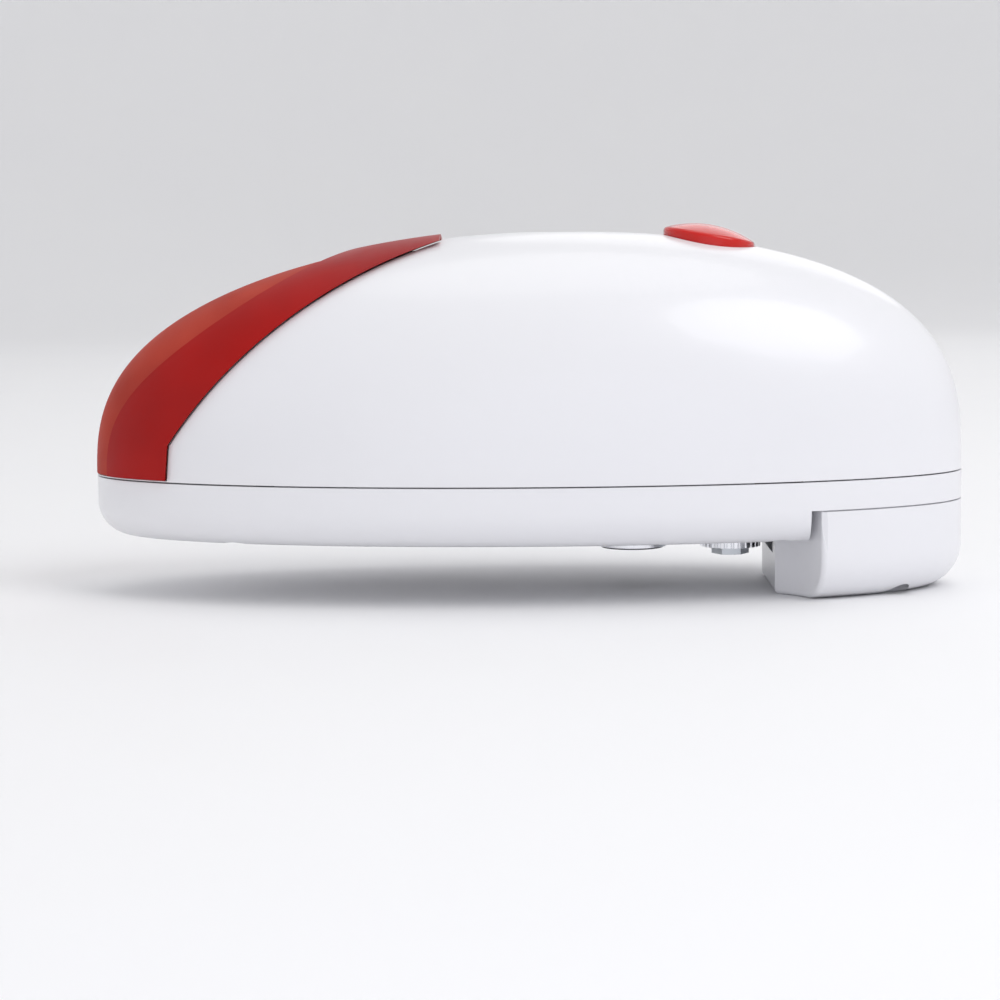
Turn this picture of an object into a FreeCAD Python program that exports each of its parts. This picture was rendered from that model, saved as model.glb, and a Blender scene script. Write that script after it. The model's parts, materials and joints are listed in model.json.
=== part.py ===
"""Hands-free electric can opener.

A long dome stands over the can. The steel drive wheel under its belly runs inside the can's rim, and
the cutter wheel in the foot closes on the rim from outside. Units are millimetres, +Z is up, +X points
to the foot's end, and the origin is the middle of the bounding box at the height of the foot's flat
underside.
"""
import FreeCAD
import Part
import Sketcher
import math
import os
import re

SIZES = {
    # outer shell
    "body_length": 180.0,
    "body_width": 75.0,
    "dome_top": 73.9,
    "peak_x": 4.5,
    "parting": 24.5,
    "seam": 0.3,
    "belly": 12.0,
    "belly_round": 7.0,
    "wall": 2.2,
    "gap": 0.3,
    "fit": 0.05,
    # foot
    "foot_step_x": 56.4,
    "foot_top": 18.5,
    "foot_inner_x": 50.5,
    "foot_inner_half": 15.0,
    "foot_outer_half": 28.0,
    "foot_bevel": 8.0,
    "foot_corner": 20.0,
    "foot_round": 9.0,
    "foot_edge": 1.0,
    "foot_head_z": 10.0,
    "window_bottom": 7.8,
    "window_half": 9.6,
    # battery cover
    "cover_proud": 1.0,
    "cover_wall": 1.4,
    "cover_left": -72.2,
    "cover_knee_x": -71.6,
    "cover_knee_z": 31.7,
    "cover_tip_x": -17.1,
    "cover_tip_z": 72.1,
    "cover_arc": 105.0,
    "ledge": 2.0,
    "ledge_wall": 1.7,
    "panel_depth": 0.9,
    "panel_middle": -66.7,
    "panel_tip": -34.0,
    "panel_half": 17.0,
    # power button
    "button_x": 38.1,
    "button_radius": 9.4,
    "button_crown": 22.0,
    "button_tilt": 9.0,
    "button_height": 75.1,
    "button_gap": 0.35,
    "button_flange": 1.2,
    "button_flange_z": 62.2,
    "button_skirt": 1.8,
    "button_edge": 0.9,
    "button_stem": 2.0,
    "button_spring_radius": 5.2,
    "button_spring_wire": 0.7,
    # switch and circuit board
    "switch_half": 6.2,
    "switch_height": 3.8,
    "plunger_radius": 1.9,
    "plunger_out": 2.3,
    "plunger_in": 1.4,
    "board_half_length": 15.0,
    "board_half_width": 11.0,
    "standoff_height": 2.0,
    "standoff_radius": 2.0,
    "peg_radius": 1.1,
    # battery bay
    "cell_radius": 7.25,
    "cell_length": 50.5,
    "cell_middle_x": -47.4,
    "cell_z": 29.6,
    "spring_room": 2.6,
    "tray_wall": 1.2,
    "tray_corner": 2.8,
    "contact_thick": 0.4,
    "contact_half": 11.5,
    "tray_rim": 5.0,
    "tray_leg": 3.0,
    "tray_screw_depth": 6.0,
    "cell_cap": 1.2,
    "cell_cap_radius": 2.75,
    "cell_spring_radius": 3.4,
    "cell_spring_wire": 0.6,
    # drive spindle and gear train
    "spindle_x": 42.5,
    "spindle_radius": 3.0,
    "wheel_radius": 6.3,
    "wheel_bottom": 8.3,
    "wheel_top": 11.5,
    "clutch_distance": 20.0,
    "clutch_gear_bottom": 22.5,
    "clutch_gear_thick": 3.5,
    "base_plate_bottom": 27.6,
    "plate_thick": 1.2,
    "top_plate_bottom": 51.0,
    "top_plate_thick": 2.0,
    "axle_radius": 1.5,
    "post_radius": 2.8,
    "spacer_radius": 2.5,
    "spindle_stub": 2.2,
    "wheel_groove": 0.35,
    "nut_radius": 3.9,
    "nut_thick": 1.6,
    "lower_bushing": 5.0,
    "lower_bushing_long": 8.0,
    "upper_bushing": 4.5,
    "plate_narrow": 18.0,
    "plate_wide": 23.5,
    "gear_hub": 2.4,
    "tooth_slack": 0.08,
    # motor
    "motor_radius": 10.0,
    "motor_flat": 7.55,
    "motor_length": 25.4,
    "motor_face": 43.8,
    "motor_shell": 0.8,
    "motor_shaft": 1.0,
    "motor_cap": 2.6,
    "motor_bearing": 3.0,
    "motor_magnet_thick": 1.6,
    "motor_magnet_half": 4.6,
    "armature_radius": 6.0,
    "commutator_radius": 2.4,
    "motor_screw": 1.0,
    "motor_screw_spread": 5.2,
    "bracket_left": -20.0,
    "bracket_ear_x": -17.5,
    # cutter turret
    "turret_radius": 5.2,
    "turret_bottom": 12.6,
    "turret_top": 17.9,
    "hub_radius": 4.0,
    "eccentricity": 3.0,
    "arm_reach": 9.5,
    "stop_circle": 8.0,
    "stop_radius": 1.2,
    "cutter_travel": 120.0,
    "cutter_radius": 10.0,
    "cutter_bottom": 8.9,
    "pin_radius": 2.2,
    "pin_shoulder": 2.7,
    "pin_root": 1.5,
    "pin_root_long": 4.4,
    "pin_head": 4.0,
    "pin_head_thick": 1.7,
    "arm_width": 3.0,
    "cutter_bevel": 1.4,
    "cutter_edge": 0.5,
    "cutter_hub": 4.6,
    # lid magnet and rim guide
    "magnet_x": 22.0,
    "magnet_radius": 6.5,
    "magnet_bottom": 8.2,
    "guide_thick": 0.8,
    # screws
    "screw_radius": 1.25,
    "screw_head": 2.6,
    "screw_head_height": 1.8,
    "recess_long": 3.2,
    "recess_wide": 0.6,
    "recess_deep": 0.6,
    "boss_radius": 3.5,
}

HOUSING_SCREWS = (("-58", "21"), ("-58", "-21"), ("50", "24"), ("50", "-24"))
FOOT_SCREWS = (("81", "0"), ("75", "14"), ("75", "-14"))
GEARBOX_POSTS = (("60", "14"), ("60", "-14"), ("2", "20"), ("6", "-20"))
BRACKET_SCREW_YS = ("2.6", "12.6")
TRAY_SCREWS = ("-66", "-31")
CELL_SPRING_TURNS = 2
BUTTON_SPRING_TURNS = 6
DRIVE_WHEEL_GROOVES = 28
BOARD_PEGS = (("26", "8"), ("26", "-8"), ("50", "8"), ("50", "-8"))

MIDDLE = "(cover_proud / 2)"
BASE_PLATE_TOP = "(base_plate_bottom + plate_thick)"
TOP_PLATE_TOP = "(top_plate_bottom + top_plate_thick)"
TURRET_X = "(spindle_x + clutch_distance)"
BOARD_BOTTOM = f"({TOP_PLATE_TOP} + standoff_height)"
BOARD_TOP = f"({BOARD_BOTTOM} + plate_thick)"
SWITCH_TOP = f"({BOARD_TOP} + switch_height)"
BUTTON_CEILING = "(button_flange_z + 6.8)"
MOTOR_BOTTOM = "(motor_face - motor_length)"
TRAY_FLOOR = "(cell_z - cell_radius - gap)"

doc = FreeCAD.newDocument("CanOpener")
sheet = doc.addObject("Spreadsheet::Sheet", "Sizes")
for row, (name, size) in enumerate(SIZES.items(), start=1):
    sheet.set(f"A{row}", name)
    sheet.set(f"B{row}", str(size))
    sheet.setAlias(f"B{row}", name)
doc.recompute()

nodes = {}


# ---------------------------------------------------------------- helpers


def cells(text):
    """Make an expression from size names, numbers and signs refer to the sheet."""
    return re.sub(
        r"[a-z_]\w*",
        lambda word: "Sizes." + word[0] if word[0] in SIZES else word[0],
        str(text),
    )


def size(text):
    """Work out an expression now, for a shape that Part's own functions make."""
    return float(sheet.evalExpression(cells(text)))


def bind(thing, **properties):
    for name, text in properties.items():
        thing.setExpression(name.replace("__", "."), cells(text))
    return thing


def place(thing, at):
    for axis, text in zip("xyz", at):
        thing.setExpression(f"Placement.Base.{axis}", cells(text))
    return thing


def cylinder(radius, bottom, top, x="0", y="0"):
    thing = doc.addObject("Part::Cylinder", "Cylinder")
    bind(thing, Radius=radius, Height=f"({top}) - ({bottom})")
    return place(thing, (x, y, bottom))


def cone(low_radius, high_radius, bottom, top, x="0", y="0"):
    thing = doc.addObject("Part::Cone", "Cone")
    bind(thing, Radius1=low_radius, Radius2=high_radius, Height=f"({top}) - ({bottom})")
    return place(thing, (x, y, bottom))


def box(low, high):
    thing = doc.addObject("Part::Box", "Box")
    sides = [f"({b}) - ({a})" for a, b in zip(low, high)]
    bind(thing, Length=sides[0], Width=sides[1], Height=sides[2])
    return place(thing, low)


def join(*pieces):
    if len(pieces) == 2:
        thing = doc.addObject("Part::Fuse", "Join")
        thing.Base, thing.Tool = pieces
    else:
        thing = doc.addObject("Part::MultiFuse", "Join")
        thing.Shapes = list(pieces)
    thing.Refine = False
    return thing


def shared(base, tool):
    thing = doc.addObject("Part::Common", "Shared")
    thing.Base = base
    thing.Tool = tool
    thing.Refine = False
    return thing


def cut(base, *tools):
    """Take each tool away from base in turn."""
    for tool in tools:
        thing = doc.addObject("Part::Cut", "Cut")
        thing.Base = base
        thing.Tool = tool
        thing.Refine = False
        base = thing
    return base


def tube(outer, inner, bottom, top, x="0", y="0"):
    return cut(cylinder(outer, bottom, top, x, y), cylinder(inner, bottom, top, x, y))


def rounded(base, radius, chosen):
    """Fillet the edges of base that chosen(edge) picks."""
    doc.recompute()
    thing = doc.addObject("Part::Fillet", "Round")
    thing.Base = base
    reach = size(radius)
    thing.Edges = [
        (number, reach, reach)
        for number, edge in enumerate(base.Shape.Edges, start=1)
        if chosen(edge)
    ]
    return thing


def moved(base, x="0", y="0", z="0"):
    """A copy of base, shifted."""
    thing = doc.addObject("Part::Compound", "Moved")
    thing.Links = [base]
    return place(thing, (x, y, z))


def group(*pieces):
    """Separate solids that share one node."""
    thing = doc.addObject("Part::Compound", "Group")
    thing.Links = list(pieces)
    return thing


def node(name, thing):
    thing.Label = name
    nodes[name] = thing
    return thing


def prism(plane, corners, start, end, arcs=()):
    """Pad a closed outline. arcs maps a side's number to its radius; the side bulges to the left."""
    body = doc.addObject("PartDesign::Body", "Prism")
    sketch = body.newObject("Sketcher::SketchObject", "Outline")
    origin_plane = next(
        item for item in body.Origin.OriginFeatures if item.Role == plane
    )
    sketch.AttachmentSupport = [(origin_plane, "")]
    sketch.MapMode = "FlatFace"
    arcs = dict(arcs)
    points = [FreeCAD.Vector(size(u), size(v), 0) for u, v in corners]
    count = len(points)
    for side in range(count):
        first, last = points[side], points[(side + 1) % count]
        if side in arcs:
            radius = size(arcs[side])
            chord = last - first
            sagitta = radius - math.sqrt(radius**2 - (chord.Length / 2) ** 2)
            left = FreeCAD.Vector(-chord.y, chord.x, 0).normalize()
            middle = (first + last) / 2 + left * sagitta
            sketch.addGeometry(Part.Arc(first, middle, last))
        else:
            sketch.addGeometry(Part.LineSegment(first, last))
    ends = []
    for side in range(count):
        start_point = points[side]
        at_start = sketch.getPoint(side, 1)
        ends.append((1, 2) if at_start.distanceToPoint(start_point) < 1e-6 else (2, 1))
    for side in range(count):
        after = (side + 1) % count
        sketch.addConstraint(
            Sketcher.Constraint("Coincident", side, ends[side][1], after, ends[after][0])
        )
    for side, (u, v) in enumerate(corners):
        for kind, text in (("DistanceX", u), ("DistanceY", v)):
            number = sketch.addConstraint(
                Sketcher.Constraint(kind, -1, 1, side, ends[side][0], size(text))
            )
            sketch.setExpression(f"Constraints[{number}]", cells(text))
    for side, radius in arcs.items():
        number = sketch.addConstraint(Sketcher.Constraint("Radius", side, size(radius)))
        sketch.setExpression(f"Constraints[{number}]", cells(radius))
    pad = body.newObject("PartDesign::Pad", "Pad")
    pad.Profile = sketch
    bind(pad, Length=f"({end}) - ({start})")
    body.Tip = pad
    if plane == "XY_Plane":
        return place(body, ("0", "0", start))
    return place(body, ("0", f"-({start})", "0"))


def ellipse(major, minor, x, z):
    thing = doc.addObject("Part::Ellipse", "Ellipse")
    bind(thing, MajorRadius=major, MinorRadius=minor)
    return place(thing, (x, "0", z))


def offset(start, distance, direction):
    """The place at a distance and direction from start, as a pair of expressions."""
    x, y = start
    return (
        f"{x} + ({distance}) * cos({direction})",
        f"{y} + ({distance}) * sin({direction})",
    )


# ---------------------------------------------------------------- outer shape

DOME_STATIONS = (0, 13, 26, 39, 51, 62, 72, 80, 86)


def dome(offset):
    """The dome above the parting line, grown by offset: its plan sections are ellipses.

    Along its length the foot's end is fuller and steeper than the battery end, so the two have their
    own superellipse exponents, and the width follows a third.
    """
    sections = []
    for angle in DOME_STATIONS:
        rise = math.sin(math.radians(angle)) ** 0.75
        right = (1 - rise**3.0) ** (1 / 2.4)
        left = (1 - rise**2.6) ** (1 / 1.85)
        across = (1 - rise**2.4) ** (1 / 2.3)
        right_end = f"(body_length / 2 + {MIDDLE} - peak_x + {offset}) * {right:.5f}"
        left_end = f"(body_length / 2 - {MIDDLE} + peak_x + {offset}) * {left:.5f}"
        sections.append(
            ellipse(
                f"({right_end} + {left_end}) / 2",
                f"(body_width / 2 + {offset}) * {across:.5f}",
                f"peak_x + ({right_end} - {left_end}) / 2",
                f"parting + (dome_top - parting + {offset}) * {rise:.5f}",
            )
        )
    loft = doc.addObject("Part::Loft", "Dome")
    loft.Sections = sections
    loft.Solid = True
    return loft


def slab(offset, bottom, top):
    """The belly's plan, an ellipse grown by offset, between two heights."""
    outline = ellipse(
        f"body_length / 2 + {offset}", f"body_width / 2 + {offset}", MIDDLE, bottom
    )
    thing = doc.addObject("Part::Extrusion", "Slab")
    thing.Base = outline
    thing.DirMode = "Custom"
    thing.Dir = FreeCAD.Vector(0, 0, 1)
    thing.Solid = True
    return bind(thing, LengthFwd=f"({top}) - ({bottom})")


BOWL_STATIONS = (0, 15, 30, 45, 60, 75, 90)
BOWL_SIDE_STATIONS = (0.25, 0.5, 0.75, 1)


def bowl(offset, bottom, top, corner):
    """The belly's plan between two heights, with its lower edge rounded by a quarter circle."""
    sections = []
    for angle in BOWL_STATIONS:
        inset = 1 - math.sin(math.radians(angle))
        rise = 1 - math.cos(math.radians(angle))
        sections.append(
            ellipse(
                f"body_length / 2 + {offset} - ({corner}) * {inset:.5f}",
                f"body_width / 2 + {offset} - ({corner}) * {inset:.5f}",
                MIDDLE,
                f"{bottom} + ({corner}) * {rise:.5f}",
            )
        )
    for share in BOWL_SIDE_STATIONS:
        sections.append(
            ellipse(
                f"body_length / 2 + {offset}",
                f"body_width / 2 + {offset}",
                MIDDLE,
                f"{bottom} + {corner} + ({top} - ({bottom}) - ({corner})) * {share}",
            )
        )
    loft = doc.addObject("Part::Loft", "Bowl")
    loft.Sections = sections
    loft.Solid = True
    return loft


outer_dome = dome("0")
skin_dome = dome("-wall / 2")
inner_dome = dome("-wall")


def cover_region():
    """Everything the battery cover takes, seen from the side, with a curved front edge."""
    return prism(
        "XZ_Plane",
        (
            ("cover_left", "parting + 0.2"),
            ("cover_knee_x", "cover_knee_z"),
            ("cover_tip_x", "cover_tip_z"),
            ("cover_tip_x", "dome_top + 10"),
            ("-body_length / 2 - 20", "dome_top + 10"),
            ("-body_length / 2 - 20", "parting + 0.2"),
        ),
        "-body_width / 2 - 5",
        "body_width / 2 + 5",
        {1: "cover_arc"},
    )


# ---------------------------------------------------------------- housings

RAIL_Y = "(cell_radius * 2 + tray_wall + contact_thick + 1.25)"


def bosses():
    """Screw bosses of the upper housing, each with a web to the side wall."""
    top = "parting + 16"
    pieces = []
    for x, y in HOUSING_SCREWS:
        pieces.append(cylinder("boss_radius", "parting", top, x, y))
        side = (y, f"({y}) + 14") if float(y) > 0 else (f"({y}) - 14", y)
        pieces.append(
            box((f"{x} - 1", side[0], "parting"), (f"{x} + 1", side[1], top))
        )
    return shared(join(*pieces), skin_dome)


def upper_housing():
    region = cover_region()
    shell = cut(outer_dome, inner_dome, region)
    ledge_shell = cut(dome("-ledge_wall"), dome("-ledge_wall * 2"))
    ledge_band = cut(moved(region, x="ledge", z="-ledge"), moved(region, x="-ledge", z="ledge"))
    ledge = shared(ledge_shell, ledge_band)
    guide = shared(
        cylinder("button_radius + button_gap + 1.6", "button_flange_z + 1.8", "dome_top", "button_x"),
        skin_dome,
    )
    holes = [cylinder("button_radius + button_gap", "parting", "dome_top + 5", "button_x")]
    for x, y in HOUSING_SCREWS:
        holes.append(cylinder("screw_radius", "parting", "parting + 12", x, y))
    for side in ("1", "-1"):
        near, far = f"{side} * ({RAIL_Y} - gap)", f"{side} * ({RAIL_Y} + 1.2 + gap)"
        if side == "-1":
            near, far = far, near
        holes.append(box(("-body_length / 2", near, "26.7"), ("-55", far, "30.3")))
    return node("upper_housing", cut(join(shell, ledge, guide, bosses()), *holes))


def lower_housing():
    outside = bowl("0", "belly", "parting - seam", "belly_round")
    step = box(
        ("foot_step_x", "-body_width", "belly - 5"),
        ("body_length", "body_width", "foot_top"),
    )
    inside_round = bowl("-wall", "belly + wall", "parting + 5", "belly_round - wall")
    raised = box(
        ("foot_step_x - wall", "-body_width", "belly"),
        ("body_length", "body_width", "foot_top + wall"),
    )
    shell = cut(outside, step, cut(inside_round, raised))
    lip_outside = join(
        slab("-wall + 0.5", "parting - 4", "parting - seam"),
        slab("-wall - 0.1", "parting - 4", "parting + 2"),
    )
    lip = cut(lip_outside, slab("-wall * 1.8", "parting - 5", "parting + 3"))
    columns = [shell]
    holes = []
    for x, y in HOUSING_SCREWS:
        columns.append(cylinder("boss_radius", "belly + 1", "parting", x, y))
        holes.append(cylinder("screw_radius + fit", "belly", "parting", x, y))
        holes.append(cylinder("screw_head + gap", "belly - 1", "belly + 6", x, y))
    for x, y in GEARBOX_POSTS:
        foot = "foot_top + 1" if float(x) > 50 else "belly + 1"
        columns.append(cylinder("post_radius", foot, "base_plate_bottom", x, y))
        holes.append(cylinder("screw_radius", "foot_top + wall", "base_plate_bottom", x, y))
    for x, y in FOOT_SCREWS:
        columns.append(cylinder("boss_radius", "foot_top + 1", "foot_top + 5.5", x, y))
        holes.append(cylinder("screw_radius", "foot_top", "foot_top + 5", x, y))
    columns.append(cylinder("lower_bushing + 2.5", "belly", "belly + lower_bushing_long", "spindle_x"))
    holes.append(cylinder("lower_bushing", "belly - 1", "belly + lower_bushing_long + 1", "spindle_x"))
    columns.append(cylinder("hub_radius + 3.5", "foot_top", "foot_top + 3", TURRET_X))
    holes.append(cylinder("hub_radius + 2", "foot_top - 1", "foot_top + 4", TURRET_X))
    for x, y in stop_pins():
        holes.append(cylinder("stop_radius", "foot_top - 1", "foot_top + wall", x, y))
    rim = cut(lip, *rail_room())
    return node("lower_housing", cut(join(*columns, rim), join(*holes)))


def rail_room():
    """Space at the battery end and around the screw bosses that the locating lip leaves free."""
    room = [box(("-body_length", "-body_width", "parting - 5"), ("-50", "body_width", "parting + 3"))]
    for x, y in HOUSING_SCREWS:
        low = y if float(y) > 0 else f"{y} - 14"
        room.append(box((f"{x} - 5", low, "parting - 5"), (f"{x} + 5", f"({low}) + 14", "parting + 3")))
    return room


def stop_pins():
    """Where the two stops of the turret's arm stand, as pairs of expressions."""
    half_width = size("stop_radius + arm_width / 2 + gap")
    beyond = math.degrees(math.asin(half_width / size("stop_circle")))
    angle = size("cutter_travel / 2") + beyond
    return [offset((TURRET_X, "0"), "stop_circle", f"{side * angle:.4f}") for side in (1, -1)]


def foot_walls(inset, bottom, top):
    """The foot's plan without its round outer side, moved inwards by inset."""
    x = f"(foot_inner_x + {inset})"
    near = f"(foot_inner_half - {inset} / 4)"
    return prism(
        "XY_Plane",
        (
            (x, f"-{near}"),
            (f"{x} + foot_bevel", "-foot_outer_half"),
            ("body_length / 2 + 20", "-foot_outer_half - 10"),
            ("body_length / 2 + 20", "foot_outer_half + 10"),
            (f"{x} + foot_bevel", "foot_outer_half"),
            (x, near),
        ),
        bottom,
        top,
        {0: "foot_corner", 4: "foot_corner"},
    )


def cutter_housing():
    basin = bowl("0", "0", "foot_top", "foot_round")
    posts = [cylinder("boss_radius + 1.3", "-2", "foot_top + 6.5", x, y) for x, y in FOOT_SCREWS]
    hollow = cut(bowl("-wall", "wall", "foot_top + 5", "foot_round - wall"), *posts)
    plan = foot_walls("0", "-1", "foot_top + 1")
    outer_side = shared(cut(basin, hollow), plan)
    inner_side = shared(cut(plan, foot_walls("wall", "-3", "foot_top + 8")), basin)
    holes = [
        box(("0", "-body_width", "belly"), ("foot_step_x + gap", "body_width", "foot_top + 5")),
        box(("0", "-window_half", "window_bottom"), ("foot_step_x", "window_half", "foot_top + 5")),
        cut(slab("2", "foot_top - seam", "foot_top + 1"), slab("-0.9", "belly", "foot_top + 2")),
    ]
    for x, y in FOOT_SCREWS:
        holes.append(cylinder("screw_radius + fit", "-2", "foot_top + 1", x, y))
        holes.append(cylinder("screw_head + gap", "-1", "foot_head_z", x, y))
    sharp = cut(join(outer_side, inner_side), *holes)
    inner_end = size("foot_inner_x + foot_bevel + 1")

    def inner_rim(edge):
        return edge.BoundBox.ZMax < 1e-3 and edge.BoundBox.XMin < inner_end

    return node("cutter_housing", rounded(sharp, "foot_edge", inner_rim))


# ---------------------------------------------------------------- battery cover and bay


def battery_cover():
    region = moved(cover_region(), x="-gap - 0.05", z="0.2")
    skin = dome("cover_proud")
    shell = shared(cut(skin, dome("-cover_wall")), region)
    reach = "((panel_tip - panel_middle) ^ 2 + panel_half ^ 2) / (2 * panel_half)"
    lens = shared(
        cylinder(reach, "0", "dome_top + 10", "panel_middle", f"{reach} - panel_half"),
        cylinder(reach, "0", "dome_top + 10", "panel_middle", f"panel_half - {reach}"),
    )
    recess = shared(cut(dome("cover_proud"), dome("cover_proud - panel_depth")), lens)
    rails = []
    for side in ("1", "-1"):
        near, far = f"{side} * {RAIL_Y}", f"{side} * ({RAIL_Y} + 1.2)"
        if side == "-1":
            near, far = far, near
        rails.append(box(("-78.4", near, "27"), ("-62", far, "30")))
    return node("battery_cover", join(cut(shell, recess), *rails))


def bay_outline(low_x, high_x, half, corner):
    """The battery bay's plan, with its two corners beside the cover taken off."""
    return (
        (low_x, f"-{half} + {corner}"),
        (f"{low_x} + {corner}", f"-{half}"),
        (high_x, f"-{half}"),
        (high_x, half),
        (f"{low_x} + {corner}", half),
        (low_x, f"{half} - {corner}"),
    )


def battery_bay():
    half = "(cell_radius * 2 + gap)"
    outer_half = f"({half} + tray_wall)"
    low_x = "(cell_middle_x - cell_length / 2 - spring_room - contact_thick)"
    high_x = "(cell_middle_x + cell_length / 2 + spring_room + contact_thick)"
    outer = prism(
        "XY_Plane",
        bay_outline(f"{low_x} - tray_wall", f"{high_x} + tray_wall", outer_half, "tray_corner"),
        f"{TRAY_FLOOR} - tray_wall",
        "cell_z + tray_rim",
    )
    inner = prism(
        "XY_Plane", bay_outline(low_x, high_x, half, "(tray_corner - 0.5)"), TRAY_FLOOR, "cell_z + 20"
    )
    legs = []
    screws = []
    holes = []
    screw_tip = f"{TRAY_FLOOR} - tray_screw_depth"
    for x in TRAY_SCREWS:
        legs.append(cylinder("tray_leg", "belly + wall", f"{TRAY_FLOOR} - tray_wall", x))
        screws.append(screw(x, "0", TRAY_FLOOR, screw_tip, 0.6))
        holes.append(cylinder("screw_radius", screw_tip, "cell_z", x))
    node("battery_tray", cut(join(cut(outer, inner), *legs), *holes))
    node("tray_screws", group(*screws))
    batteries = []
    springs = []
    plates = []
    for sign, turned in ((1, False), (-1, True)):
        y = f"{sign} * (cell_radius + 0.2)"
        batteries.append(cell(y, turned))
        springs.append(cell_spring(y, turned))
    for x in (low_x, f"{high_x} - contact_thick"):
        far_corner = (f"{x} + contact_thick", "contact_half", "cell_z + tray_rim - 0.5")
        plates.append(box((x, "-contact_half", TRAY_FLOOR), far_corner))
    node("battery_cells", group(*batteries))
    node("cell_springs", group(*springs))
    node("contact_plates", group(*plates))


def along_x(radius, x, length, y, z):
    thing = doc.addObject("Part::Cylinder", "Round")
    bind(thing, Radius=radius, Height=length)
    thing.Placement.Rotation = FreeCAD.Rotation(FreeCAD.Vector(0, 1, 0), 90)
    return place(thing, (x, y, z))


def cell(y, turned):
    """A round cell along X: its can, and the raised cap of its positive end."""
    left = "cell_middle_x - cell_length / 2"
    if turned:
        start, cap = f"{left} + cell_cap", left
    else:
        start, cap = left, f"{left} + cell_length - cell_cap"
    return join(
        along_x("cell_radius", start, "cell_length - cell_cap", y, "cell_z"),
        along_x("cell_cap_radius", cap, "cell_cap", y, "cell_z"),
    )


def coil(mean_radius, wire, turns, length):
    """An open coil spring along Z from the origin."""
    helix = doc.addObject("Part::Helix", "Helix")
    bind(helix, Radius=mean_radius, Height=f"{length} - {wire}", Pitch=f"({length} - {wire}) / {turns}")
    helix.SegmentLength = 0.5
    ring = doc.addObject("Part::Circle", "Wire")
    bind(ring, Radius=f"{wire} / 2")
    ring.Placement.Rotation = FreeCAD.Rotation(FreeCAD.Vector(1, 0, 0), 90)
    place(ring, (mean_radius, "0", "0"))
    sweep = doc.addObject("Part::Sweep", "Coil")
    sweep.Sections = [ring]
    sweep.Spine = (helix, [f"Edge{half_turn + 1}" for half_turn in range(turns * 2)])
    sweep.Solid = True
    sweep.Frenet = True
    return sweep


def cell_spring(y, turned):
    spring = coil("cell_spring_radius", "cell_spring_wire", CELL_SPRING_TURNS, "(spring_room - 0.1)")
    holder = doc.addObject("Part::Compound", "Spring")
    holder.Links = [spring]
    if turned:
        x = "cell_middle_x + cell_length / 2 + cell_spring_wire / 2 + 0.05"
    else:
        x = "cell_middle_x - cell_length / 2 - spring_room + cell_spring_wire / 2 + 0.05"
    holder.Placement.Rotation = FreeCAD.Rotation(FreeCAD.Vector(0, 1, 0), 90)
    return place(holder, (x, y, "cell_z"))


def cross_recess(x, y, low, high):
    """The cross for the driver, between two heights, as two slots."""
    along, across = "recess_long / 2", "recess_wide / 2"
    return [
        box((f"{x} - {along}", f"{y} - {across}", low), (f"{x} + {along}", f"{y} + {across}", high)),
        box((f"{x} - {across}", f"{y} - {along}", low), (f"{x} + {across}", f"{y} + {along}", high)),
    ]


def screw(x, y, head_bottom, tip, share=1.0):
    """A pan-head screw whose head stands on head_bottom, a share of the full head high."""
    head_top = f"({head_bottom}) + screw_head_height * {share}"
    head = cylinder("screw_head", head_bottom, head_top, x, y)
    shank = cylinder("screw_radius", tip, head_bottom, x, y)
    return cut(join(head, shank), *cross_recess(x, y, f"{head_top} - recess_deep", f"{head_top} + 1"))


def screw_up(x, y, head_top, tip):
    """A pan-head screw driven upwards: its head is under head_top and its shank ends at tip."""
    low = f"({head_top}) - screw_head_height"
    head = cylinder("screw_head", low, head_top, x, y)
    shank = cylinder("screw_radius", head_top, tip, x, y)
    return cut(join(head, shank), *cross_recess(x, y, f"{low} - 1", f"{low} + recess_deep"))


# ---------------------------------------------------------------- power button and switch


def power_button():
    tilt = "button_tilt"
    ball = doc.addObject("Part::Sphere", "Crown")
    bind(ball, Radius="button_crown")
    place(
        ball,
        (
            f"button_x - button_crown * sin({tilt})",
            "0",
            f"button_height - button_crown * cos({tilt})",
        ),
    )
    flange_top = "button_flange_z + 1.5"
    crown = shared(cylinder("button_radius", flange_top, "dome_top + 10", "button_x"), ball)
    middle = size("button_x")
    radius = size("button_radius")
    soft = rounded(
        crown,
        "button_edge",
        lambda edge: edge.BoundBox.ZMin > size("dome_top") - 12
        and edge.BoundBox.XLength > radius
        and edge.BoundBox.YLength > radius
        and abs(edge.BoundBox.Center.x - middle) < 1,
    )
    skirt = join(soft, cylinder("button_radius + button_flange", "button_flange_z", flange_top, "button_x"))
    hollow = cylinder("button_radius - button_skirt", "button_flange_z", BUTTON_CEILING, "button_x")
    stem = cylinder("button_stem", f"{SWITCH_TOP} + plunger_out + gap", f"{BUTTON_CEILING} + 1", "button_x")
    node("power_button", join(cut(skirt, hollow), stem))
    length = f"({BUTTON_CEILING} - {SWITCH_TOP} - 0.1)"
    spring = coil("button_spring_radius", "button_spring_wire", BUTTON_SPRING_TURNS, length)
    spring_foot = f"{SWITCH_TOP} + button_spring_wire / 2 + 0.05"
    node("button_spring", place(group(spring), ("button_x", "0", spring_foot)))


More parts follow.
